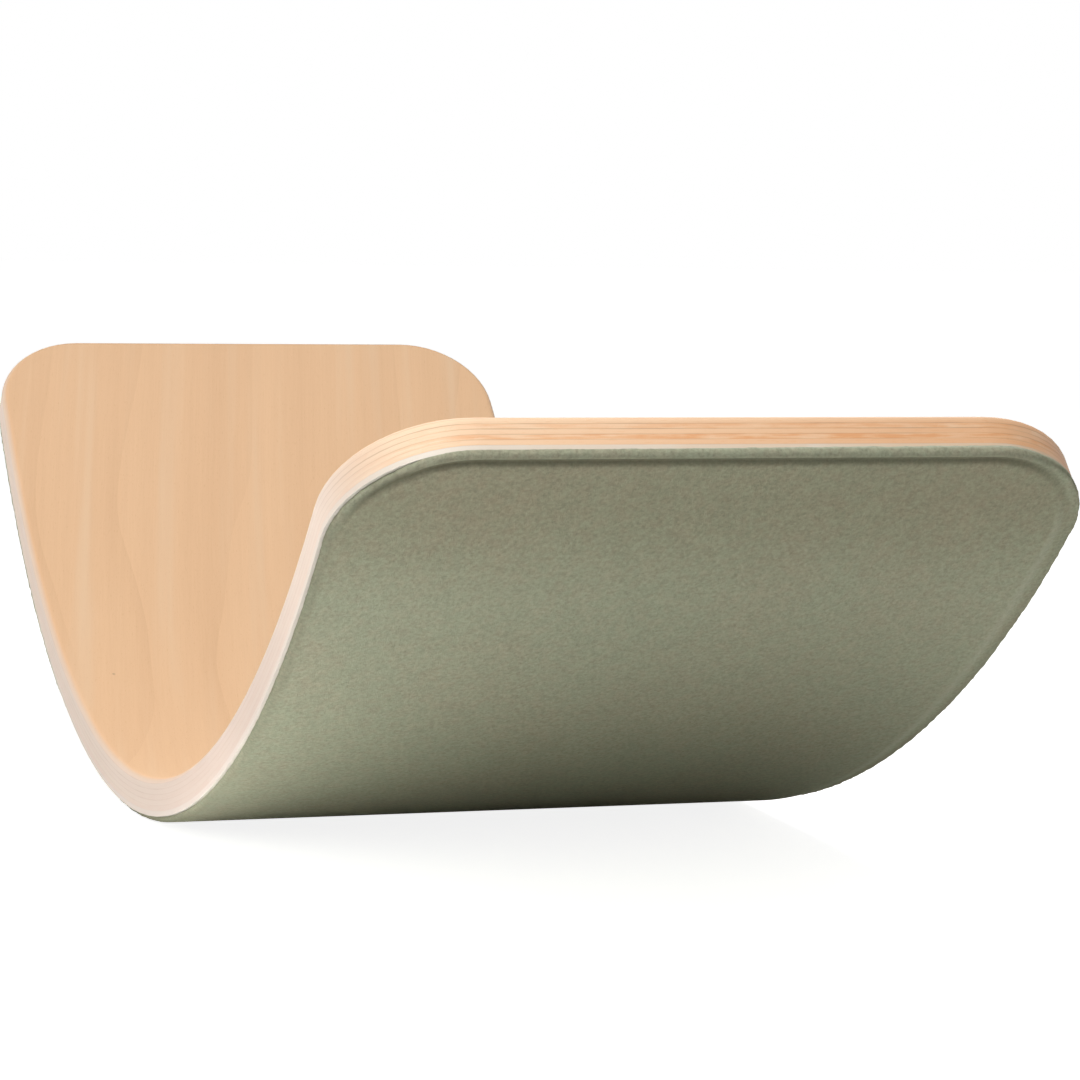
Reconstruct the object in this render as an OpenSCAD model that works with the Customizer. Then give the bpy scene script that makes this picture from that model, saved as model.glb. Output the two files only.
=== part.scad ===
// Curvy balance board: a bent plywood rocker with a felt cover glued under it.
// The veneers are glued face to face in a curved press, the board is cut to its outline,
// its inner edge is rounded over, and one sheet of felt covers the face that rocks.
// X runs along the board, Y across it and Z up. The origin is on the floor, under the middle.

/* [Board] */
// Length of the board before it is bent, along the plywood's outer face
blank_l = 1000; // [700:10:1200]
// Width of the board
board_w = 300; // [200:5:400]
// Radius of the bend at the inner face
bend_r = 580; // [480:5:800]
// Radius of the four corners in plan: the bend stops where they start
corner_r = 50; // [30:1:90]

/* [Plywood] */
// Number of core veneers between the two face veneers
core_count = 5; // [3:2:7]
// Thickness of each veneer
veneer_t = 2.5; // [1.5:0.1:3.5]
// Radius of the rounded edge all round the inner face
edge_r = 4; // [1:0.25:6]

/* [Felt] */
// Thickness of the felt
felt_t = 3; // [2:0.25:6]
// Height of the felt's edge that stays square against the wood, below which it is rounded
felt_seam = 0.5; // [0.25:0.25:1.5]
// Distance of the pressed crease from the felt's edge
crease_in = 3.25; // [3:0.25:12]
// Depth of the pressed crease
crease_d = 0.8; // [0.2:0.1:1.5]
// Radius of the wheel that presses the crease
crease_r = 1.25; // [1:0.25:3]

/* [Hidden] */
$fn = 240;
core_nodes = [for (i = [1:core_count]) str("core_veneer_", i)];

// The plywood's thickness, and the radius of the felt face that rolls on the floor
board_t = veneer_t * (core_count + 2);
rocker_r = bend_r + board_t + felt_t;
// How far the board bends on each side of its middle, in degrees
bend_a = (blank_l / 2 - corner_r) / (bend_r + board_t) * 180 / PI;
// How far the two halves of a layer run past the middle to join there, in degrees
lap_a = 1;
// Where the corners are centred across the board
corner_y = board_w / 2 - corner_r;

// Quarter of a disc, in the corner that X and Y point into
module quarter_disc(r) {
    intersection() {
        circle(r, $fn = 64);
        square(2 * r);
    }
}

// A strip from 0 to reach, t high, with its upper outer corner rounded to r
module rounded_strip(reach, t, r) {
    square([reach - r, t]);
    translate([reach - r, 0]) square([r, t - r]);
    translate([reach - r, t - r]) quarter_disc(r);
}

// Sections below run from 0 out to the board's edge at $reach, and up from the felt's outer face.

// Section of the veneer that has the given number of veneers below it
module veneer_section(below) {
    intersection() {
        translate([0, felt_t]) rounded_strip($reach, board_t, edge_r);
        translate([0, felt_t + below * veneer_t]) square([$reach, veneer_t]);
    }
}

// Section of the felt: rounded at its outer edge, with the crease pressed in beside it
module felt_section() {
    difference() {
        translate([0, felt_t]) mirror([0, 1]) rounded_strip($reach, felt_t, felt_t - felt_seam);
        translate([$reach - crease_in, crease_d - crease_r]) circle(crease_r, $fn = 64);
    }
}

// The bend, from a straight end to just past the board's middle
module bend() {
    $reach = board_w / 2;
    translate([0, 0, rocker_r]) rotate([90, 0, 0]) rotate(270)
        rotate_extrude(angle = bend_a + lap_a)
            for (side = [0, 1]) mirror([0, side]) translate([rocker_r, 0]) rotate(90) children();
}

// The straight end of the board: an edge between two rounded corners
module straight_end() {
    $reach = corner_r;
    translate([0, corner_y, 0]) rotate([90, 0, 0]) linear_extrude(2 * corner_y) children();
    for (side = [0, 1]) mirror([0, side, 0])
        translate([0, corner_y, 0]) rotate_extrude(angle = 90) children();
}

// One layer of the board: two halves alike, each laid out flat from its straight end
// and then turned up about the bend's axis
module layer() {
    for (side = [0, 1]) mirror([side, 0, 0])
        translate([0, 0, rocker_r]) rotate([0, bend_a, 0]) translate([0, 0, -rocker_r]) {
            bend() children();
            mirror([1, 0, 0]) straight_end() children();
        }
}

module top_face_veneer() {
    color("burlywood") layer() veneer_section(core_count + 1);
}

// Core veneers are numbered from the top down, and take two tones because their grain is crossed
module core_veneer(number) {
    color(number % 2 == 1 ? "tan" : "wheat") layer() veneer_section(core_count + 1 - number);
}

module bottom_face_veneer() {
    color("antiquewhite") layer() veneer_section(0);
}

module felt_cover() {
    color([0.54, 0.56, 0.47]) layer() felt_section();
}

top_face_veneer();
for (i = [1:core_count]) core_veneer(i);
bottom_face_veneer();
felt_cover();
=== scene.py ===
"""Looks of a curvy balance board: lacquered veneers, a felt cover and a plain studio."""

import math

import bpy
import numpy as np
from mathutils import Matrix, Vector, noise


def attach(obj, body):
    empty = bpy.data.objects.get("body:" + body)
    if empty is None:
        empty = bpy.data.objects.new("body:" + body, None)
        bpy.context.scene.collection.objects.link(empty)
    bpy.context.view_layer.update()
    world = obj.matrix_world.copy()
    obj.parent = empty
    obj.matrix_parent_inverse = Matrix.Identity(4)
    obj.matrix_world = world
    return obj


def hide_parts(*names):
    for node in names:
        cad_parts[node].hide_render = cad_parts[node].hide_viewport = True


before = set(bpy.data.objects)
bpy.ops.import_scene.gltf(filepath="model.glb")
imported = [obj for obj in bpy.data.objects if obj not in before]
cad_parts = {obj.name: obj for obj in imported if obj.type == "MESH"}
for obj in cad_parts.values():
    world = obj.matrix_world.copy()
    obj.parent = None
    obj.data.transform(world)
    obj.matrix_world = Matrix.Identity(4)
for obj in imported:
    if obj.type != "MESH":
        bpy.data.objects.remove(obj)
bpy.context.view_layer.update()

bl_info = {
    "name": "Curvy Balance Board",
    "version": (1, 0, 0),
    "blender": (4, 5, 0),
    "location": "3D View > Sidebar > Balance Board",
    "description": "Finishes a bent plywood balance board with veneer, felt, a floor and studio light",
    "category": "Object",
}

MM = 0.001
WHITE = (1.0, 1.0, 1.0)
CORE_VENEERS = sorted(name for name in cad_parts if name.startswith("core_veneer_"))
# Points along one side, one end and one corner of the felt's outline
OUTLINE_STEPS = (420, 250, 76)
# A hair's breadth between the felt and the wood it is glued to
GLUE_FILM = 0.00003
# How far in from the edge the felt's rings make room where its edge is cut short
SHORT_CUT_REACH = 0.012
# Sizes of the coarse and fine lumps along the felt's cut rim, and how far in from it they die away
COARSE_LUMP = 0.0042
FINE_LUMP = 0.0016
LUMP_REACH = 0.0035
# Size of the waves along the felt's lip
LIP_WAVE = 0.006
# Faces that meet at more than this angle keep a sharp edge between them
SHARP_ANGLE = math.radians(60.0)


def length(name, description, default):
    """A size in metres for the sidebar."""
    return bpy.props.FloatProperty(
        name=name, description=description, default=default, unit="LENGTH", precision=5
    )


def colour(name, description, default):
    """A colour for the sidebar, in linear light."""
    return bpy.props.FloatVectorProperty(
        name=name, description=description, default=default, subtype="COLOR", size=3, min=0.0, max=1.0
    )


def factor(name, description, default):
    """A share from 0 to 1 for the sidebar."""
    return bpy.props.FloatProperty(
        name=name, description=description, default=default, min=0.0, max=1.0, subtype="FACTOR"
    )


def power(name, description, default):
    """A lamp's power in watts for the sidebar."""
    return bpy.props.FloatProperty(
        name=name, description=description, default=default, min=0.0, unit="POWER"
    )


class BoardSizes(bpy.types.PropertyGroup):
    """Sizes of the board that the finishes and the felt follow"""

    flat_length: length("Flat length", "Length along the plywood's outer face before bending", 1.0)
    width: length("Width", "Width of the board", 0.3)
    corner: length("Corner", "Radius of the four corners in plan", 0.05)
    inner_radius: length("Inner radius", "Radius of the bend at the inner face", 0.58)
    veneer: length("Veneer", "Thickness of each veneer", 0.0025)
    plywood: length("Plywood", "Thickness of all seven veneers", 0.0175)
    felt: length("Felt", "Thickness of the felt", 0.003)


class VeneerFinish(bpy.types.PropertyGroup):
    """Colours and figure of the veneers"""

    face_pale: colour("Face, pale", "Early wood of the inner face", (0.900, 0.582, 0.337))
    face_deep: colour("Face, deep", "Late wood and flecks of the inner face", (0.645, 0.358, 0.174))
    face_light: colour("Face, light", "Light streaks of the inner face", (0.880, 0.640, 0.425))
    core_pale: colour("Core, pale", "Lighter tone of the core's edges", (0.768, 0.562, 0.374))
    core_deep: colour("Core, deep", "Darker tone of the core's edges", (0.676, 0.328, 0.141))
    # Pale edge tone: partly sanding and partly a painted highlight, most of all on the left side
    sanded_and_highlight: colour("Sanded edge", "Pale tone of the sanded long edges", (0.690, 0.560, 0.470))
    # Painted shade: a darker pale edge tone over the near half of the board
    painted_shade_on_edge: colour(
        "Sanded edge, deep", "Deeper stretch of the sanded long edges", (0.455, 0.360, 0.308)
    )
    back_pale: colour("Back, pale", "Lighter tone of the outer face veneer", (0.645, 0.580, 0.497))
    # Warmer tone of the pale veneer, also used as painted shade towards the right side
    back_warm_and_painted_shade: colour("Back, warm", "Warmer tone of the outer face veneer", (0.640, 0.445, 0.281))
    back_bare: colour(
        "Back, bare", "Strip of the outer face that the felt leaves bare", (0.664, 0.610, 0.531)
    )
    glue: colour("Glue line", "Glue between two veneers", (0.330, 0.175, 0.090))
    glue_width: length("Glue line width", "How wide a glue line shows at the edge", 0.00042)
    figure: factor("Figure", "Strength of the growth lines on the inner face", 0.18)
    skew: bpy.props.FloatProperty(
        name="Skew",
        description="Turn of the inner face's grain",
        default=math.radians(9.0),
        subtype="ANGLE",
    )
    knot_along: length("Knot, along", "Place of a pin knot along the flat board", -0.169)
    knot_across: length("Knot, across", "Place of a pin knot across the board", -0.125)
    knot_size: length("Knot size", "Radius of the pin knot", 0.0011)


class FeltFinish(bpy.types.PropertyGroup):
    """Colours and shape of the felt"""

    green: colour("Green", "Main colour of the felt", (0.361, 0.381, 0.263))
    brown: colour("Brown", "Warmer fibres in the felt", (0.389, 0.363, 0.252))
    light: colour("Light", "Palest fibres in the felt", (0.530, 0.540, 0.418))
    # Felt at the bottom of the crease: painted shade in and beside the crease, partly compressed felt
    pressed_and_painted_shade: colour("Pressed", "Felt at the bottom of the crease", (0.103, 0.101, 0.063))
    # Painted shade: a darker, warmer tint of the felt towards its ends
    painted_end_shade: colour(
        "Handled", "Tint of the felt towards its ends, where hands hold it", (0.870, 0.830, 0.805)
    )
    seam: length("Seam", "Square part of the felt's edge against the wood", 0.0005)
    crease_inset: length("Crease inset", "Distance of the pressed crease from the edge", 0.0040)
    crease_depth: length("Crease depth", "Depth of the pressed crease along the two ends", 0.0012)
    crease_width: length("Crease width", "Width of the pressed crease", 0.0034)
    side_roll: length("Side roll", "Width of the strip along one side that rolls over to the edge", 0.0080)
    side_drop: length("Side drop", "How far the strip along one side falls towards the edge", 0.0013)
    field_drop: length("Field drop", "How far the even field lies below the swell beside its rim", 0.00025)
    rim_rough: length("Rim roughness", "How uneven the cut rim is", 0.0004)
    lip: length("Lip", "How far the cut rim stands up past the seam where it was cut too wide", 0.00115)
    overhang: length("Overhang", "How far the cut rim stands out past the wood", 0.00025)
    short_cut: length("Short cut", "How far the cut edge stops short of the wood along one side", 0.0015)


class StudioSettings(bpy.types.PropertyGroup):
    """Floor, light and camera"""

    floor: colour("Floor", "Colour of the floor", (0.92, 0.92, 0.92))
    floor_glow: factor("Floor glow", "White seen on the floor besides its lit colour", 0.86)
    sky: factor("Room light", "Strength of the even light from all round", 0.16)
    top_power: power("Top lamp", "Power of the large lamp overhead", 20.5)
    near_power: power("Near lamp", "Power of the small lamp over the near end", 6.7)
    left_power: power("Left lamp", "Power of the small lamp beside the far end", 1.6)
    floor_power: power("Floor lamp", "Power of the low lamp that lights the floor on the left", 0.57)
    foot_power: power("Foot lamp", "Power of the low lamp on the floor at the left side's foot", 0.09)
    right_power: power("Right lamp", "Power of the low lamp that lights the floor on the right", 0.10)
    focal: bpy.props.FloatProperty(
        name="Focal length", description="Lens of the camera in millimetres", default=113.88, unit="CAMERA"
    )


# Name, place, aim, size and power of each lamp
LAMPS = (
    ("top_lamp", (0.0, -0.1, 2.3), (0.0, 0.0, 0.1), 1.4, "top_power"),
    ("near_lamp", (0.7, -0.45, 0.9), (0.42, -0.05, 0.18), 0.4, "near_power"),
    ("left_lamp", (-0.60, -0.70, 0.25), (-0.35, -0.15, 0.10), 0.3, "left_power"),
    ("floor_lamp", (0.30, -0.34, 0.08), (0.30, -0.34, 0.0), 0.2, "floor_power"),
    ("foot_lamp", (0.20, -0.27, 0.05), (0.20, -0.27, 0.0), 0.1, "foot_power"),
    ("right_lamp", (0.42, 0.28, 0.08), (0.42, 0.28, 0.0), 0.2, "right_power"),
)


class Graph:
    """Adds nodes to one tree. A value for an input may be a number, a colour or another node's output."""

    def __init__(self, tree):
        self.tree = tree
        self.count = 0

    def node(self, kind, inputs=None, **settings):
        made = self.tree.nodes.new(kind)
        made.location = (220 * (self.count % 8), -260 * (self.count // 8))
        self.count += 1
        for key, value in settings.items():
            setattr(made, key, value)
        for key, value in (inputs or {}).items():
            self.feed(made.inputs[key], value)
        return made

    def feed(self, socket, value):
        if isinstance(value, bpy.types.NodeSocket):
            self.tree.links.new(value, socket)
            return
        if socket.type == "RGBA":
            value = (*value[:3], 1.0)
        socket.default_value = value

    def math(self, operation, *values, clamp=False):
        made = self.node("ShaderNodeMath", dict(enumerate(values)), operation=operation, use_clamp=clamp)
        return made.outputs[0]

    def ramp(self, value, low, high, to_low=0.0, to_high=1.0, smooth=True):
        """value moved from low..high to to_low..to_high, and kept there outside."""
        inputs = {"Value": value, "From Min": low, "From Max": high, "To Min": to_low, "To Max": to_high}
        kind = "SMOOTHSTEP" if smooth else "LINEAR"
        return self.node("ShaderNodeMapRange", inputs, interpolation_type=kind).outputs[0]

    def blend(self, share, first, second, way="MIX"):
        made = self.node("ShaderNodeMix", data_type="RGBA", blend_type=way)
        self.feed(made.inputs[0], share)
        self.feed(made.inputs[6], first)
        self.feed(made.inputs[7], second)
        return made.outputs[2]

    def parts(self, vector):
        return self.node("ShaderNodeSeparateXYZ", {0: vector}).outputs

    def vector(self, x, y, z):
        return self.node("ShaderNodeCombineXYZ", {0: x, 1: y, 2: z}).outputs[0]

    def turn(self, vector, angle):
        """A vector turned about the board's thickness."""
        inputs = {"Vector": vector, "Angle": angle}
        return self.node("ShaderNodeVectorRotate", inputs, rotation_type="Z_AXIS").outputs[0]

    def noise(self, vector, cell, shift=(0.0, 0.0, 0.0), detail=2.0, roughness=0.5, distortion=0.0):
        """Noise whose cells have the given size in millimetres."""
        scale = tuple(1.0 / size for size in cell)
        mapping = {"Vector": vector, "Scale": scale, "Location": shift}
        placed = self.node("ShaderNodeMapping", mapping).outputs[0]
        inputs = {"Scale": 1.0, "Detail": detail, "Roughness": roughness, "Distortion": distortion}
        return self.node("ShaderNodeTexNoise", {"Vector": placed, **inputs}).outputs[0]


def new_group(name, inputs, outputs):
    """An empty shader node group with named sockets: the group, its graph, its inputs and its outputs."""
    group = bpy.data.node_groups.new(name, "ShaderNodeTree")
    for label, kind, default in inputs:
        socket = group.interface.new_socket(name=label, in_out="INPUT", socket_type="NodeSocket" + kind)
        if default is not None:
            socket.default_value = default
    for label, kind in outputs:
        group.interface.new_socket(name=label, in_out="OUTPUT", socket_type="NodeSocket" + kind)
    graph = Graph(group)
    given = graph.node("NodeGroupInput").outputs
    result = graph.node("NodeGroupOutput").inputs
    return group, graph, given, result


def place_group(graph, group, inputs):
    """A group placed in a material with its own values."""
    return graph.node("ShaderNodeGroup", inputs, node_tree=group).outputs


def board_coordinates(sizes):
    """Group that rolls the bent board out flat, in millimetres, and measures the way to its edge.

    End is 1 at the two ends of the board and 0 along its sides.
    """
    outer = sizes.inner_radius + sizes.plywood
    bend = (sizes.flat_length / 2 - sizes.corner) / outer
    group, g, given, result = new_group(
        "Board Coordinates",
        [
            ("Position", "Vector", None),
            ("Rocker Radius", "Float", outer + sizes.felt),
            ("Outer Radius", "Float", outer),
            ("Inner Radius", "Float", sizes.inner_radius),
            ("Bend Angle", "Float", bend),
            ("Straight From", "Float", sizes.flat_length / 2 - sizes.corner),
            ("Corner From", "Float", sizes.width / 2 - sizes.corner),
            ("Corner", "Float", sizes.corner),
        ],
        [("Flat", "Vector"), ("Depth", "Float"), ("Inset", "Float"), ("End", "Float")],
    )
    place = g.parts(given["Position"])
    x = g.math("ABSOLUTE", place["X"])
    drop = g.math("SUBTRACT", given["Rocker Radius"], place["Z"])
    sine = g.math("SINE", given["Bend Angle"])
    cosine = g.math("COSINE", given["Bend Angle"])
    ahead = g.math("SUBTRACT", g.math("MULTIPLY", x, cosine), g.math("MULTIPLY", drop, sine))
    turned = g.math("MINIMUM", g.math("ARCTAN2", x, drop), given["Bend Angle"])
    rolled = g.math("MULTIPLY_ADD", turned, given["Outer Radius"], g.math("MAXIMUM", ahead, 0.0))
    along = g.math("MULTIPLY", g.math("SIGN", place["X"]), rolled)
    round_radius = g.math("SQRT", g.math("MULTIPLY_ADD", x, x, g.math("MULTIPLY", drop, drop)))
    straight_radius = g.math("MULTIPLY_ADD", x, sine, g.math("MULTIPLY", drop, cosine))
    is_straight = g.math("GREATER_THAN", ahead, 0.0)
    change = g.math("SUBTRACT", straight_radius, round_radius)
    radius = g.math("MULTIPLY_ADD", change, is_straight, round_radius)
    depth = g.math("SUBTRACT", radius, given["Inner Radius"])
    past_s = g.math("SUBTRACT", rolled, given["Straight From"])
    past_y = g.math("SUBTRACT", g.math("ABSOLUTE", place["Y"]), given["Corner From"])
    out_s = g.math("MAXIMUM", past_s, 0.0)
    out_y = g.math("MAXIMUM", past_y, 0.0)
    outside = g.math("SQRT", g.math("MULTIPLY_ADD", out_s, out_s, g.math("MULTIPLY", out_y, out_y)))
    inside = g.math("MINIMUM", g.math("MAXIMUM", past_s, past_y), 0.0)
    inset = g.math("SUBTRACT", given["Corner"], g.math("ADD", outside, inside))
    end = g.math("DIVIDE", out_s, g.math("MAXIMUM", g.math("ADD", out_s, out_y), 1e-6))
    flat = g.vector(along, place["Y"], depth)
    in_mm = g.node("ShaderNodeVectorMath", {0: flat, 3: 1.0 / MM}, operation="SCALE").outputs[0]
    g.feed(result["Flat"], in_mm)
    g.feed(result["Depth"], g.math("DIVIDE", depth, MM))
    g.feed(result["Inset"], g.math("DIVIDE", inset, MM))
    g.feed(result["End"], end)
    return group


def veneer_grain():
    """Group for one veneer: growth lines, streaks, fibres and flecks along the first axis of Flat."""
    group, g, given, result = new_group(
        "Veneer Grain",
        [
            ("Flat", "Vector", None),
            ("Pale", "Color", None),
            ("Deep", "Color", None),
            ("Light", "Color", None),
            ("Shift", "Float", 0.16),
            ("Figure", "Float", 0.15),
            ("Flecks", "Float", 0.18),
        ],
        [("Color", "Color"), ("Height", "Float"), ("Roughness", "Float")],
    )
    flat = given["Flat"]
    drift = g.noise(flat, (520.0, 150.0, 60.0), detail=2.0, roughness=0.4)
    phase = g.math("MULTIPLY_ADD", drift, 3.0, g.math("DIVIDE", g.parts(flat)["Y"], 55.0))
    lines = g.math("POWER", g.math("FRACT", phase), 4.0)
    presence = g.ramp(g.noise(flat, (420.0, 90.0, 60.0), (7.0, 3.0, 1.0)), 0.35, 0.65)
    drawn = g.math("MULTIPLY", g.math("MULTIPLY", lines, presence), given["Figure"])
    tone = g.noise(flat, (700.0, 34.0, 30.0), (2.0, 5.0, 9.0), detail=1.0)
    streak = g.noise(flat, (420.0, 6.5, 8.0), (5.0, 1.0, 3.0))
    bright = g.ramp(g.noise(flat, (380.0, 16.0, 10.0), (8.0, 2.0, 6.0)), 0.50, 0.80, 0.0, 0.55)
    fibre = g.noise(flat, (46.0, 0.85, 0.7), detail=3.0, roughness=0.6)
    fleck = g.ramp(g.noise(flat, (3.4, 0.42, 0.35), detail=1.0), 0.62, 0.74)
    share = g.math("ADD", given["Shift"], drawn)
    for part, strength in ((tone, 0.42), (streak, 0.20), (fibre, 0.22)):
        share = g.math("MULTIPLY_ADD", g.math("SUBTRACT", part, 0.5), strength, share)
    share = g.math("MULTIPLY_ADD", fleck, given["Flecks"], share, clamp=True)
    wood = g.blend(share, given["Pale"], given["Deep"])
    g.feed(result["Color"], g.blend(bright, wood, given["Light"]))
    g.feed(result["Height"], g.math("SUBTRACT", fibre, g.math("MULTIPLY", fleck, 0.6)))
    rough = g.math("MULTIPLY_ADD", fibre, 0.10, 0.52)
    g.feed(result["Roughness"], g.math("MULTIPLY_ADD", fleck, 0.10, rough))
    return group


def glue_lines():
    """Group for the thin dark lines where two veneers meet, broken up along the edge."""
    group, g, given, result = new_group(
        "Glue Lines",
        [
            ("Flat", "Vector", None),
            ("Depth", "Float", 0.0),
            ("Veneer", "Float", 2.5),
            ("Plies", "Float", 7.0),
            ("Width", "Float", 0.3),
        ],
        [("Mask", "Float")],
    )
    share = g.math("DIVIDE", given["Depth"], given["Veneer"])
    nearest = g.math("ROUND", share)
    away = g.math("MULTIPLY", g.math("ABSOLUTE", g.math("SUBTRACT", share, nearest)), given["Veneer"])
    broken_up = g.noise(given["Flat"], (26.0, 26.0, 2.5), (3.0, 8.0, 4.0), detail=3.0)
    width = g.math("MULTIPLY", given["Width"], g.ramp(broken_up, 0.2, 0.8, 0.35, 1.3, smooth=False))
    line = g.math("SUBTRACT", 1.0, g.ramp(away, 0.0, width))
    above = g.math("GREATER_THAN", nearest, 0.5)
    below = g.math("LESS_THAN", nearest, g.math("SUBTRACT", given["Plies"], 0.5))
    line = g.math("MULTIPLY", line, g.math("MULTIPLY", above, below))
    line = g.math("MULTIPLY", line, g.ramp(broken_up, 0.3, 0.65, 0.45, 1.0))
    upper = g.math("ABSOLUTE", g.math("SUBTRACT", nearest, 2.5))
    g.feed(result["Mask"], g.math("MULTIPLY", line, g.ramp(upper, 0.5, 3.5, 1.0, 0.3, smooth=False)))
    return group


def felt_fibres():
    """Group for pressed wool: fibres that cross in all directions, some of them warmer or paler."""
    group, g, given, result = new_group(
        "Felt Fibres",
        [
            ("Flat", "Vector", None),
            ("Main", "Color", None),
            ("Warm", "Color", None),
            ("Light", "Color", None),
        ],
        [("Color", "Color"), ("Height", "Float"), ("Roughness", "Float")],
    )
    flat = given["Flat"]
    strands = None
    for angle in (0.25, 1.15, 2.05, 2.80):
        shift = (10.0 * angle, 4.0 * angle, 0.0)
        strand = g.noise(g.turn(flat, angle), (2.6, 0.34, 0.6), shift, roughness=0.55, distortion=0.9)
        strand = g.ramp(strand, 0.42, 0.72)
        strands = strand if strands is None else g.math("MAXIMUM", strands, strand)
    clumps = g.noise(flat, (1.5, 1.5, 1.5), detail=3.0, roughness=0.6)
    mottle = g.noise(flat, (5.0, 4.4, 4.4), (4.0, 1.0, 0.0))
    cloud = g.noise(flat, (70.0, 50.0, 50.0), (1.0, 6.0, 0.0), detail=1.0)
    small_spots = g.ramp(mottle, 0.35, 0.70, 0.0, 0.6)
    large_spots = g.ramp(cloud, 0.35, 0.65, 0.0, 0.4)
    warm = g.math("ADD", small_spots, large_spots, clamp=True)
    ground = g.blend(warm, given["Main"], given["Warm"])
    shade = g.ramp(clumps, 0.30, 0.70, 0.78, 1.18, smooth=False)
    ground = g.blend(1.0, ground, g.vector(shade, shade, shade), "MULTIPLY")
    g.feed(result["Color"], g.blend(g.math("MULTIPLY", strands, 0.28), ground, given["Light"]))
    g.feed(result["Height"], g.math("MULTIPLY_ADD", clumps, 0.7, g.math("MULTIPLY", strands, 0.6)))
    g.feed(result["Roughness"], g.ramp(clumps, 0.2, 0.8, 0.88, 1.0, smooth=False))
    return group


GROUPS = {
    "Board Coordinates": board_coordinates,
    "Veneer Grain": lambda sizes: veneer_grain(),
    "Glue Lines": lambda sizes: glue_lines(),
    "Felt Fibres": lambda sizes: felt_fibres(),
}


def shared_group(name, sizes):
    """One of the node groups that the materials share, built when it is first asked for."""
    return bpy.data.node_groups.get(name) or GROUPS[name](sizes)


def new_material(name, sizes):
    """A material with its graph, its shader and the place on the flat board."""
    material = bpy.data.materials.new(name)
    material.use_nodes = True
    material.node_tree.nodes.clear()
    graph = Graph(material.node_tree)
    shader = graph.node("ShaderNodeBsdfPrincipled")
    graph.node("ShaderNodeOutputMaterial", {"Surface": shader.outputs[0]})
    position = graph.node("ShaderNodeTexCoord").outputs["Object"]
    rolled = place_group(graph, shared_group("Board Coordinates", sizes), {"Position": position})
    return material, graph, shader, rolled


def raise_surface(graph, shader, height, strength, distance):
    """Bump a shader's surface by a height from 0 to 1."""
    bump = graph.node("ShaderNodeBump", {"Height": height, "Strength": strength, "Distance": distance})
    graph.feed(shader.inputs["Normal"], bump.outputs[0])


def finish_edge(g, rolled, colour_of_wood, sizes, finish, side_sanding_and_highlight, end_sanding_and_highlight=0.0):
    """The wood's colour with its paler edges and glue lines: one side is paler, with fainter lines. The
    pale edge tone is partly sanding and partly a painted highlight, strongest on the left side.
    """
    lines = place_group(
        g,
        shared_group("Glue Lines", sizes),
        {
            "Flat": rolled["Flat"],
            "Depth": rolled["Depth"],
            "Veneer": sizes.veneer / MM,
            "Width": finish.glue_width / MM,
        },
    )
    along, across, _ = g.parts(rolled["Flat"])

    def left_to_right(left, right):
        return g.ramp(across, -60.0, 60.0, left, right)

    def side_to_end(side, end):
        return g.ramp(rolled["End"], 0.15, 0.75, side, end)

    at_edge = g.ramp(rolled["Inset"], 0.6, 3.2, 1.0, 0.0)
    # The left side gets more of the pale tone and fainter lines: a painted highlight on top of the sanding
    at_side = left_to_right(side_sanding_and_highlight, 0.4 * side_sanding_and_highlight)
    sanded_and_highlight = g.math("MULTIPLY", at_edge, side_to_end(at_side, end_sanding_and_highlight))
    # Painted shade: the pale edge tone turns darker from about 0 to 450 mm along
    deeper = g.math("MULTIPLY", g.ramp(along, -20.0, 200.0), g.ramp(along, 310.0, 450.0, 1.0, 0.0))
    tone = g.blend(sanded_and_highlight, colour_of_wood, g.blend(deeper, finish.sanded_and_highlight, finish.painted_shade_on_edge))
    full_line = 0.55
    line = side_to_end(left_to_right(0.25, full_line), full_line)
    share = g.math("MULTIPLY", lines["Mask"], line)
    return g.blend(share, tone, finish.glue)


def finish_wood(g, shader, grain, base_colour):
    """Feed a shader with a colour and with the roughness and fine relief of a grain."""
    g.feed(shader.inputs["Base Color"], base_colour)
    g.feed(shader.inputs["Roughness"], grain["Roughness"])
    raise_surface(g, shader, grain["Height"], 0.25, 0.00012)


def inner_face_material(sizes, finish):
    """Rotary-cut face veneer with skewed grain, light streaks and one pin knot."""
    material, g, shader, rolled = new_material("beech_face", sizes)
    place = g.parts(rolled["Flat"])
    grain = place_group(
        g,
        shared_group("Veneer Grain", sizes),
        {
            "Flat": g.turn(rolled["Flat"], finish.skew),
            "Pale": finish.face_pale,
            "Deep": finish.face_deep,
            "Light": finish.face_light,
            "Shift": g.ramp(place["Y"], -150.0, 150.0, 0.26, 0.06, smooth=False),
            "Figure": finish.figure,
        },
    )
    off_along = g.math("DIVIDE", g.math("SUBTRACT", place["X"], finish.knot_along / MM), 1.6)
    off_across = g.math("SUBTRACT", place["Y"], finish.knot_across / MM)
    across_squared = g.math("MULTIPLY", off_across, off_across)
    off = g.math("SQRT", g.math("MULTIPLY_ADD", off_along, off_along, across_squared))
    knot = g.ramp(off, 0.4 * finish.knot_size / MM, finish.knot_size / MM, 0.45, 0.0)
    wood = g.blend(knot, grain["Color"], finish.glue)
    finish_wood(g, shader, grain, finish_edge(g, rolled, wood, sizes, finish, 0.7, 0.35))
    return material


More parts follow.
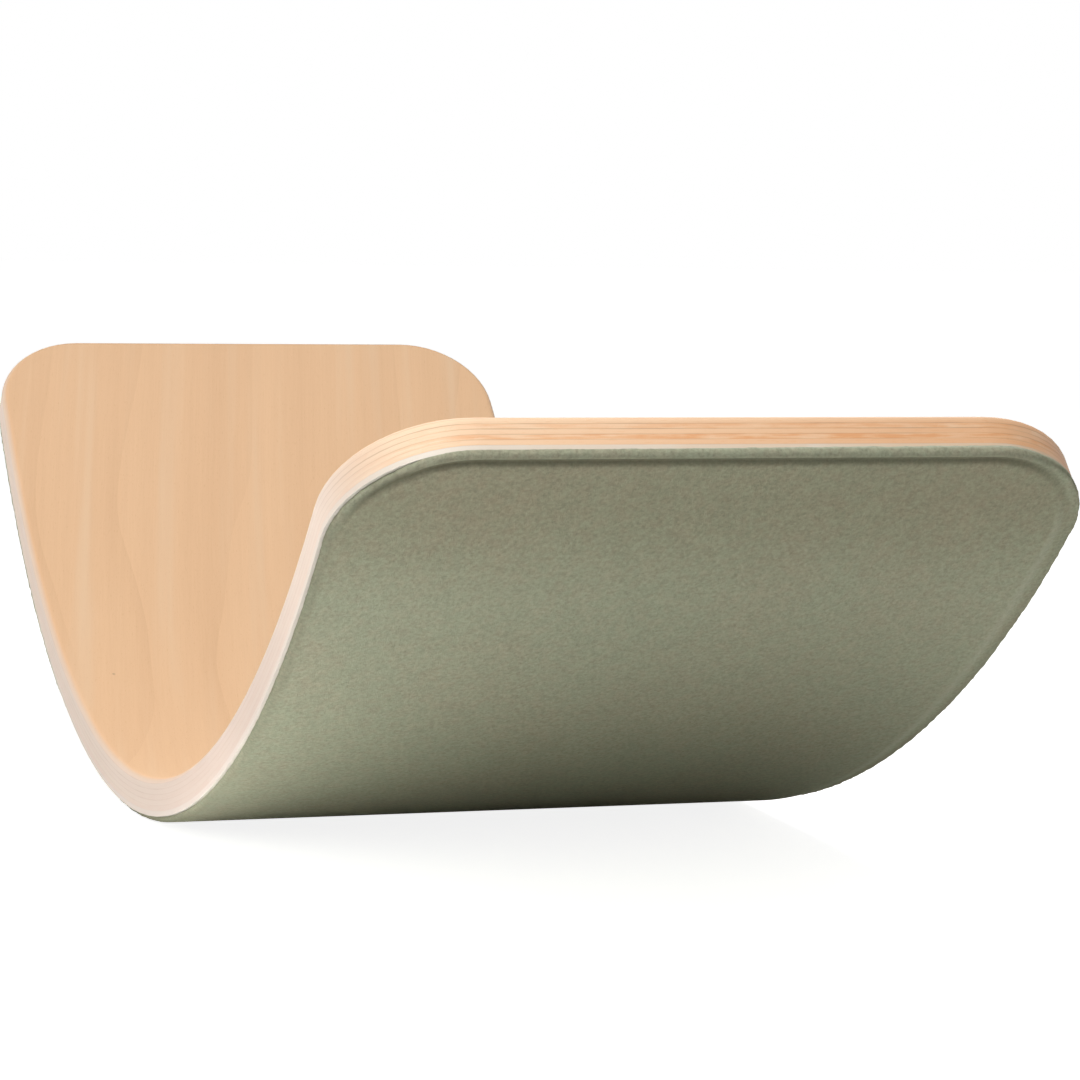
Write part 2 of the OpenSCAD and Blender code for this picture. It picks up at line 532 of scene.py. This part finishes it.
def core_material(sizes, finish):
    """Core veneers: every second one lies across, and fibres that are cut through have a deeper tone."""
    material, g, shader, rolled = new_material("beech_core", sizes)
    place = g.parts(rolled["Flat"])
    ply = g.math("FLOOR", g.math("DIVIDE", rolled["Depth"], sizes.veneer / MM))
    odd = g.math("MODULO", ply, 2.0)
    turned = g.node("ShaderNodeMix", data_type="VECTOR")
    g.feed(turned.inputs[0], odd)
    g.feed(turned.inputs[4], rolled["Flat"])
    g.feed(turned.inputs[5], g.vector(place["Y"], place["X"], place["Z"]))
    end_grain = g.math("ABSOLUTE", g.math("SUBTRACT", odd, rolled["End"]))
    patches = g.ramp(g.noise(rolled["Flat"], (16.0, 16.0, 1.2), (2.0, 9.0, 0.0)), 0.35, 0.65, 0.05, 0.60)
    lower = g.ramp(ply, 1.0, 4.0, 0.25, 1.0, smooth=False)
    deeper = g.math("MULTIPLY", g.math("MULTIPLY", end_grain, lower), patches)
    # Painted shade: the core's edges turn deeper towards the right side
    painted_shade_to_right = g.ramp(place["Y"], -130.0, 70.0, 0.05, 0.60, smooth=False)
    grain = place_group(
        g,
        shared_group("Veneer Grain", sizes),
        {
            "Flat": turned.outputs[1],
            "Pale": finish.core_pale,
            "Deep": finish.core_deep,
            "Light": finish.core_pale,
            "Shift": g.math("ADD", painted_shade_to_right, deeper),
        },
    )
    finish_wood(g, shader, grain, finish_edge(g, rolled, grain["Color"], sizes, finish, 0.85))
    return material


def outer_face_material(sizes, finish):
    """The pale veneer under the felt, of which only the edge and a bare strip show."""
    material, g, shader, rolled = new_material("pale_face", sizes)
    grain = place_group(
        g,
        shared_group("Veneer Grain", sizes),
        {
            "Flat": rolled["Flat"],
            "Pale": finish.back_pale,
            "Deep": finish.back_warm_and_painted_shade,
            "Light": finish.back_pale,
            # Painted shade: the pale veneer turns warmer and deeper towards the right side
            "Shift": g.ramp(g.parts(rolled["Flat"])["Y"], -120.0, 130.0, 0.05, 0.95, smooth=False),
            "Figure": 0.10,
        },
    )
    edge = finish_edge(g, rolled, grain["Color"], sizes, finish, 0.6)
    face_depth = sizes.plywood / MM
    at_face = g.ramp(rolled["Depth"], face_depth - 0.3, face_depth - 0.05)
    finish_wood(g, shader, grain, g.blend(at_face, edge, finish.back_bare))
    return material


def felt_material(sizes, finish):
    """Matt wool felt, paler where its cut edge is fuzzy. It has painted shade in and beside the crease,
    partly compressed felt, painted shade towards its ends, on the right side's rolled strip and beside the
    left side's short-cut edge, and a painted highlight along the roll's ridge.
    """
    material, g, shader, rolled = new_material("sage_felt", sizes)
    wool = place_group(
        g,
        shared_group("Felt Fibres", sizes),
        {"Flat": rolled["Flat"], "Main": finish.green, "Warm": finish.brown, "Light": finish.light},
    )
    along, across, _ = g.parts(rolled["Flat"])
    is_left = g.math("LESS_THAN", across, 0.0)
    is_right = g.math("SUBTRACT", 1.0, is_left)
    past_crease = g.math("SUBTRACT", rolled["Inset"], finish.crease_inset / MM)
    # Painted shade in and beside the crease, partly compressed felt: wider towards the edge, weaker to the
    # right, strongest along the ends and round the left corners
    bottom = 0.74
    outer_wall = g.ramp(past_crease, -3.2, -0.5, 0.08, bottom)
    inner_wall = g.ramp(past_crease, 0.2, 2.8, bottom, 0.0)
    pressed_and_painted_shade = g.math("MINIMUM", outer_wall, inner_wall)
    pressed_and_painted_shade = g.math("MULTIPLY", pressed_and_painted_shade, g.ramp(across, -100.0, 100.0, 1.0, 0.86, smooth=False))
    near_end = g.math("MULTIPLY_ADD", is_left, 0.28, rolled["End"])
    pressed_and_painted_shade = g.math("MULTIPLY", pressed_and_painted_shade, g.ramp(near_end, 0.35, 0.85))
    at_side = g.ramp(rolled["End"], 0.0, 0.5, 1.0, 0.0)
    on_roll = g.math("MULTIPLY", at_side, is_right)
    from_roll = g.math("ABSOLUTE", g.math("SUBTRACT", rolled["Inset"], finish.side_roll / MM))
    # Painted highlight along the ridge of the strip that rolls over on the right side
    ridge_painted_highlight = g.math("MULTIPLY", g.ramp(from_roll, 0.4, 3.2, 0.26, 0.0), on_roll)
    # Painted shade on the strip that rolls over towards the right edge
    painted_shade_on_roll = g.math("MULTIPLY", g.ramp(rolled["Inset"], 2.0, 6.5, 0.20, 0.0), on_roll)
    on_cut = g.math("MULTIPLY", at_side, is_left)
    cut_short = g.math("MULTIPLY", on_cut, g.ramp(along, -120.0, 0.0))
    # Painted shade on the felt beside the short-cut edge, on the left side's near half
    painted_shade_under_edge = g.math("MULTIPLY", g.ramp(rolled["Inset"], 2.5, 6.0, 0.32, 0.0), cut_short)
    pressed_and_painted_shade = g.math("MAXIMUM", g.math("MAXIMUM", pressed_and_painted_shade, painted_shade_on_roll), painted_shade_under_edge)
    tufts = g.noise(rolled["Flat"], (1.4, 1.4, 0.5), (6.0, 2.0, 1.0), detail=3.0)
    fuzz = g.ramp(tufts, 0.30, 0.62, 0.30, 0.95)
    out = g.math("SUBTRACT", rolled["Depth"], sizes.plywood / MM)
    frayed = g.math("MULTIPLY", on_cut, g.ramp(along, -260.0, -60.0, 2.2, 0.0))
    fuzz = g.math("MULTIPLY", fuzz, g.ramp(g.math("SUBTRACT", out, frayed), -0.9, 0.45, 1.0, 0.0))
    # Painted shade: the felt turns darker and warmer towards its ends, away from its rim
    towards_end = g.ramp(g.math("ABSOLUTE", along), 405.0, 475.0)
    painted_end_share = g.math("MULTIPLY", towards_end, g.ramp(rolled["Inset"], 2.0, 6.0))
    tone = g.blend(painted_end_share, wool["Color"], finish.painted_end_shade, "MULTIPLY")
    tone = g.blend(pressed_and_painted_shade, tone, finish.pressed_and_painted_shade)
    # Paler fuzz at the cut edge, and the painted highlight along the roll's ridge
    tone = g.blend(g.math("MAXIMUM", fuzz, ridge_painted_highlight), tone, finish.light)
    g.feed(shader.inputs["Base Color"], tone)
    g.feed(shader.inputs["Roughness"], wool["Roughness"])
    shader.inputs["Specular IOR Level"].default_value = 0.0
    raise_surface(g, shader, wool["Height"], 0.6, 0.0004)
    return material


class FlatBoard:
    """Turns places on the flat board into places on the bent one."""

    def __init__(self, sizes):
        self.outer = sizes.inner_radius + sizes.plywood
        self.axis = self.outer + sizes.felt
        self.corner = sizes.corner
        self.reach = sizes.flat_length / 2 - sizes.corner
        self.wide = sizes.width / 2 - sizes.corner
        self.bend = self.reach / self.outer

    def bent(self, along, across, out):
        """Points of the bent board. out is the distance outwards from the plywood's outer face."""
        size = np.abs(along)
        angle = np.minimum(size / self.outer, self.bend)
        ahead = np.maximum(size - self.reach, 0.0)
        radius = self.outer + out
        x = radius * np.sin(angle) + ahead * np.cos(angle)
        z = self.axis - radius * np.cos(angle) + ahead * np.sin(angle)
        return np.stack([np.sign(along) * x, across + 0.0 * x, z], axis=-1)

    def outline(self, long_steps, short_steps, corner_steps):
        """Rows along, across and two for the outward direction of a loop through the corners' centres.

        The board's edge lies one corner radius out from it. The loop runs counter-clockwise from a corner.
        """
        side = np.linspace(-self.reach, self.reach, long_steps + 1)[:-1]
        end = np.linspace(-self.wide, self.wide, short_steps + 1)[:-1]
        angle = np.linspace(0.0, math.pi / 2, corner_steps + 1)[:-1]
        sine, cosine = np.sin(angle), np.cos(angle)
        stretches = (
            (side, -self.wide, 0.0, -1.0),
            (self.reach, -self.wide, sine, -cosine),
            (self.reach, end, 1.0, 0.0),
            (self.reach, self.wide, cosine, sine),
        )
        half = np.concatenate([np.stack(np.broadcast_arrays(*stretch)) for stretch in stretches], axis=1)
        return np.concatenate([half, -half], axis=1)


def felt_profile(sizes, finish):
    """Insets of the felt's rings from its cut edge inwards, and their heights at an end and two sides.

    An end has a pressed crease, one side has a soft roll and the other is plain.
    """
    edge = sizes.felt - finish.seam
    crest_width = 0.0024
    soft_edge = 0.004
    swell_width = 0.006
    roll_start = 0.0015
    # The rounded edge, close rings over the crease, then wider ones towards the even field
    insets = np.concatenate(
        [
            edge * (1.0 - np.cos(np.linspace(0.0, math.pi / 2, 8)[:-1])),
            np.arange(0.0022, 0.0067, 0.0003),
            np.arange(0.0070, 0.0098, 0.0007),
            [0.0108, 0.0130, 0.0170, 0.0240, 0.0340, 0.0440],
        ]
    )
    level = np.clip(1.0 - insets / edge, 0.0, 1.0)
    round_edge = finish.seam + edge * np.sqrt(1.0 - level**2)
    groove = np.exp(-(((insets - finish.crease_inset) / (finish.crease_width / 2)) ** 2))
    crest = np.exp(-(((insets - finish.crease_inset - finish.crease_width) / crest_width) ** 2))
    fall = finish.field_drop * (1.0 - crest) * (insets > 0.002)
    end = round_edge - finish.crease_depth * groove - fall
    soft_level = np.clip(1.0 - insets / soft_edge, 0.0, 1.0)
    plain = finish.seam + (edge - finish.field_drop) * np.sqrt(1.0 - soft_level**2)
    swell = round_edge - finish.field_drop * np.clip((insets - edge) / swell_width, 0.0, 1.0)
    roll = np.clip(insets / finish.side_roll, 0.0, 1.0)
    rolled = swell - finish.side_drop * np.clip(insets / roll_start, 0.0, 1.0) * (1.0 - roll**2)
    stand_out = finish.overhang * level
    return insets - stand_out, end, plain, rolled


def smooth_step(value, low, high):
    """0 below low, 1 above high and a smooth change between them."""
    share = np.clip((value - low) / (high - low), 0.0, 1.0)
    return share**2 * (3.0 - 2.0 * share)


def short_cuts(outline, finish):
    """How far the cut edge stops short at each step: along most of one side and round its near corner."""
    along, _, _, out_y = outline
    return finish.short_cut * smooth_step(-out_y, 0.25, 0.70) * smooth_step(along, -0.26, -0.06)


def lip_heights(board, outline, finish):
    """How far the cut rim stands up past the seam at each step: not at all where it is cut short."""
    along, across, out_s, out_y = outline
    x = along + board.corner * out_s
    y = across + board.corner * out_y
    share = 0.18 + 0.82 * smooth_step(y, -0.09, 0.11)
    share = share * (1.0 - smooth_step(-out_y, 0.0, 0.25) * smooth_step(along, -0.34, -0.26))
    uneven = np.array([noise.noise(Vector((a, b, 0.0)) / LIP_WAVE) for a, b in zip(x, y)])
    return finish.lip * share * (0.95 + 0.30 * uneven)


def link_mesh(name, points, faces, material):
    """A smooth mesh object from points and faces, with its square corners kept sharp."""
    mesh = bpy.data.meshes.new(name)
    mesh.from_pydata([tuple(point) for point in points], [], faces)
    mesh.validate()
    mesh.materials.append(material)
    mesh.polygons.foreach_set("use_smooth", [True] * len(mesh.polygons))
    mesh.set_sharp_from_angle(angle=SHARP_ANGLE)
    piece = bpy.data.objects.new(name, mesh)
    bpy.context.scene.collection.objects.link(piece)
    return piece


def glued_face(long_steps, short_steps, corner_steps):
    """Faces over the first ring, against the wood: strips across, and one face at each flat end."""
    right = long_steps + corner_steps + short_steps + corner_steps
    rounds = 2 * right
    faces = []
    for i in range(long_steps):
        faces.append((i + 1, i, right + long_steps - i, right + long_steps - i - 1))
    for first in (long_steps, right + long_steps):
        last = first + 2 * corner_steps + short_steps
        for i in range(corner_steps - 1):
            low = first + i
            high = last - i
            faces.append(((low + 1) % rounds, low % rounds, high % rounds, (high - 1) % rounds))
        tip = range(last - corner_steps + 1, first + corner_steps - 2, -1)
        faces.append(tuple(i % rounds for i in tip))
    return faces


def field_faces(start, long_steps, short_steps):
    """Faces of the even field inside a loop of points from start: strips across and two end faces."""
    rounds = 2 * (long_steps + short_steps)

    def near(i):
        return start + i

    def far(i):
        return start + 2 * long_steps + short_steps - i

    faces = []
    for i in range(1, long_steps - 1):
        faces.append((near(i), near(i + 1), far(i + 1), far(i)))
    right_end = [start + i for i in range(long_steps - 1, long_steps + short_steps + 2)]
    left_end = [start + i % rounds for i in range(2 * long_steps + short_steps - 1, rounds + 2)]
    faces += [tuple(right_end), tuple(left_end)]
    return faces


def ring_points(board, outline, inset, heights, rough):
    """One ring of the felt's rim, uneven most of all at the cut edge, and clear of wood and floor."""
    along, across, out_s, out_y = outline
    reach = board.corner - inset
    even = board.bent(along + reach * out_s, across + reach * out_y, heights)
    elsewhere = Vector((9.0, 4.0, 2.0))
    coarse = np.array([noise.noise(Vector(point) / COARSE_LUMP) for point in even])
    fine = np.array([noise.noise(Vector(point) / FINE_LUMP + elsewhere) for point in even])
    near_edge = 0.12 + 0.88 * np.exp(-((inset / LUMP_REACH) ** 2))
    uneven = rough * near_edge * (0.6 * coarse + 0.7 * fine)
    beside_wood = heights <= GLUE_FILM
    reach = reach + np.where(beside_wood, np.maximum(uneven, 0.0), uneven)
    free_heights = np.clip(heights + 0.5 * uneven, GLUE_FILM, board.axis - board.outer)
    heights = np.where(beside_wood, heights, free_heights)
    return board.bent(along + reach * out_s, across + reach * out_y, heights)


def felt_mesh(sizes, finish):
    """Points and faces of the closed felt sheet: its rim's rings, the even field and the glued face."""
    board = FlatBoard(sizes)
    long_steps, short_steps, corner_steps = OUTLINE_STEPS
    outline = board.outline(*OUTLINE_STEPS)
    along, across, out_s, out_y = outline
    rounds = along.size
    # The crease fades out round the corners, later on the side that is cut short
    at_end = np.abs(out_s) ** np.where(out_y < 0.0, 1.3, 3.0)
    at_roll = np.maximum(out_y, 0.0) ** 2
    lip = lip_heights(board, outline, finish)
    short = short_cuts(outline, finish)
    is_short = short > 0.0
    rings = [
        (short, np.full(rounds, GLUE_FILM)),
        (short - 0.4 * finish.overhang, np.where(is_short, 2.0 * GLUE_FILM, -lip)),
        (short - finish.overhang, np.where(is_short, 4.0 * GLUE_FILM, -0.7 * lip)),
    ]
    for inset, end, plain, rolled in zip(*felt_profile(sizes, finish)):
        side = plain + (rolled - plain) * at_roll
        moved = inset + short * max(1.0 - inset / SHORT_CUT_REACH, 0.0)
        rings.append((moved, side + (end - side) * at_end))
    points = [ring_points(board, outline, inset, heights, finish.rim_rough) for inset, heights in rings]
    faces = []
    for row in range(len(rings) - 1):
        here = row * rounds
        inwards = here + rounds
        for i in range(rounds):
            j = (i + 1) % rounds
            faces.append((here + i, here + j, inwards + j, inwards + i))
    start = len(rings) * rounds
    last = start - rounds
    quarter = (long_steps, corner_steps, short_steps, corner_steps)
    is_corner = np.concatenate([np.full(steps, i % 2 == 1) for i, steps in enumerate(quarter)] * 2)
    loop = np.cumsum(~is_corner) - 1 + is_corner
    field = np.flatnonzero(~is_corner)
    loop = loop % field.size
    even = sizes.felt - finish.field_drop
    points.append(board.bent(along[field], across[field], np.full(field.size, even)))
    for i in range(rounds):
        j = (i + 1) % rounds
        inner = [start + loop[j], start + loop[i]]
        if loop[i] == loop[j]:
            inner = inner[:1]
        faces.append((last + i, last + j, *inner))
    faces += field_faces(start, long_steps, short_steps)
    faces += glued_face(*OUTLINE_STEPS)
    return np.concatenate(points), [tuple(int(i) for i in face) for face in faces]


class BOARD_OT_finish_veneers(bpy.types.Operator):
    """Give the seven veneers their grain, colour and glue lines"""

    bl_idname = "balance_board.finish_veneers"
    bl_label = "Finish Veneers"

    def execute(self, context):
        sizes = context.scene.board_sizes
        finish = context.scene.veneer_finish
        core = core_material(sizes, finish)
        finishes = {name: core for name in CORE_VENEERS}
        finishes["top_face_veneer"] = inner_face_material(sizes, finish)
        finishes["bottom_face_veneer"] = outer_face_material(sizes, finish)
        for name, material in finishes.items():
            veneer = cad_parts[name]
            veneer.data.materials.clear()
            veneer.data.materials.append(material)
        return {"FINISHED"}


class BOARD_OT_lay_felt(bpy.types.Operator):
    """Lay the felt sheet over the outer face, with its rolled rim and pressed crease"""

    bl_idname = "balance_board.lay_felt"
    bl_label = "Lay Felt"

    def execute(self, context):
        sizes = context.scene.board_sizes
        finish = context.scene.felt_finish
        points, faces = felt_mesh(sizes, finish)
        felt = link_mesh("felt_sheet", points, faces, felt_material(sizes, finish))
        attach(felt, "root")
        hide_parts("felt_cover")
        return {"FINISHED"}


class BOARD_OT_set_studio(bpy.types.Operator):
    """Set the floor, the room light, the lamps and the camera"""

    bl_idname = "balance_board.set_studio"
    bl_label = "Set Studio"

    def execute(self, context):
        settings = context.scene.studio_settings
        context.scene.view_settings.view_transform = "Standard"
        self.lay_floor(settings)
        self.light_room(context, settings)
        for name, place, aim, size, strength in LAMPS:
            self.hang_lamp(context, name, place, aim, size, getattr(settings, strength))
        self.set_camera(context, settings)
        return {"FINISHED"}

    def seen_by_eye(self, g):
        """1 where the camera, a reflection or glass looks at a surface, 0 where it lights something."""
        path = g.node("ShaderNodeLightPath").outputs
        seen = g.math("MAXIMUM", path["Is Camera Ray"], path["Is Glossy Ray"])
        return g.math("MAXIMUM", seen, path["Is Transmission Ray"])

    def lay_floor(self, settings):
        """A wide floor that takes shadows, with a glow that brings it up to white."""
        half = 40.0
        corners = [(-half, -half, 0.0), (half, -half, 0.0), (half, half, 0.0), (-half, half, 0.0)]
        material = bpy.data.materials.new("studio_floor")
        material.use_nodes = True
        material.node_tree.nodes.clear()
        g = Graph(material.node_tree)
        matt = g.node("ShaderNodeBsdfDiffuse", {"Color": settings.floor})
        strength = g.math("MULTIPLY", self.seen_by_eye(g), settings.floor_glow)
        glow = g.node("ShaderNodeEmission", {"Strength": strength})
        both = g.node("ShaderNodeAddShader", {0: matt.outputs[0], 1: glow.outputs[0]})
        g.node("ShaderNodeOutputMaterial", {"Surface": both.outputs[0]})
        link_mesh("studio_floor", corners, [(0, 1, 2, 3)], material)

    def light_room(self, context, settings):
        """An even light from all round, in a room that looks white."""
        world = bpy.data.worlds.new("studio_room")
        world.use_nodes = True
        world.node_tree.nodes.clear()
        g = Graph(world.node_tree)
        strength = g.ramp(self.seen_by_eye(g), 0.0, 1.0, settings.sky, 1.0, smooth=False)
        light = g.node("ShaderNodeBackground", {"Color": WHITE, "Strength": strength})
        g.node("ShaderNodeOutputWorld", {"Surface": light.outputs[0]})
        context.scene.world = world

    def hang_lamp(self, context, name, place, aim, size, watts):
        """A round soft lamp that the camera doesn't see."""
        light = bpy.data.lights.new(name, "AREA")
        light.shape = "DISK"
        light.size = size
        light.energy = watts
        lamp = bpy.data.objects.new(name, light)
        lamp.location = place
        lamp.visible_camera = False
        lamp.rotation_euler = (Vector(aim) - Vector(place)).to_track_quat("-Z", "Y").to_euler()
        context.scene.collection.objects.link(lamp)

    def set_camera(self, context, settings):
        """A camera low in front of the near end, looking along the board and a little down."""
        place = Vector((1.61658, -0.43838, 0.27196))
        yaw = 0.2989
        pitch = 0.0859
        roll = 0.0135
        straight_up = Vector((0.0, 0.0, 1.0))
        flat_forward = Vector((-math.cos(yaw), math.sin(yaw), 0.0))
        forward = math.cos(pitch) * flat_forward - math.sin(pitch) * straight_up
        level_right = forward.cross(straight_up).normalized()
        level_up = level_right.cross(forward)
        right = math.cos(roll) * level_right + math.sin(roll) * level_up
        up = math.cos(roll) * level_up - math.sin(roll) * level_right
        lens = bpy.data.cameras.new("photo_camera")
        lens.lens = settings.focal
        lens.sensor_width = 36.0
        lens.clip_end = 200.0
        camera = bpy.data.objects.new("photo_camera", lens)
        turn = Matrix((right, up, -forward)).transposed()
        camera.matrix_world = Matrix.Translation(place) @ turn.to_4x4()
        context.scene.collection.objects.link(camera)
        context.scene.camera = camera


class BOARD_PT_sidebar(bpy.types.Panel):
    """Sizes, finishes and the steps that use them"""

    bl_idname = "BOARD_PT_sidebar"
    bl_label = "Balance Board"
    bl_space_type = "VIEW_3D"
    bl_region_type = "UI"
    bl_category = "Balance Board"

    def draw(self, context):
        for group_name, step in PANEL_ROWS:
            box = self.layout.box()
            group = getattr(context.scene, group_name)
            for key in group.__annotations__:
                box.prop(group, key)
            if step:
                box.operator(step)


PANEL_ROWS = (
    ("board_sizes", None),
    ("veneer_finish", "balance_board.finish_veneers"),
    ("felt_finish", "balance_board.lay_felt"),
    ("studio_settings", "balance_board.set_studio"),
)
SETTINGS = {
    "board_sizes": BoardSizes,
    "veneer_finish": VeneerFinish,
    "felt_finish": FeltFinish,
    "studio_settings": StudioSettings,
}
CLASSES = (
    *SETTINGS.values(),
    BOARD_OT_finish_veneers,
    BOARD_OT_lay_felt,
    BOARD_OT_set_studio,
    BOARD_PT_sidebar,
)


def register():
    for kind in CLASSES:
        bpy.utils.register_class(kind)
    for name, kind in SETTINGS.items():
        setattr(bpy.types.Scene, name, bpy.props.PointerProperty(type=kind))


def unregister():
    for name in SETTINGS:
        delattr(bpy.types.Scene, name)
    for kind in reversed(CLASSES):
        bpy.utils.unregister_class(kind)


def main():
    register()
    bpy.ops.balance_board.set_studio()
    bpy.ops.balance_board.finish_veneers()
    bpy.ops.balance_board.lay_felt()
    bpy.context.view_layer.update()


if __name__ == "__main__":
    main()
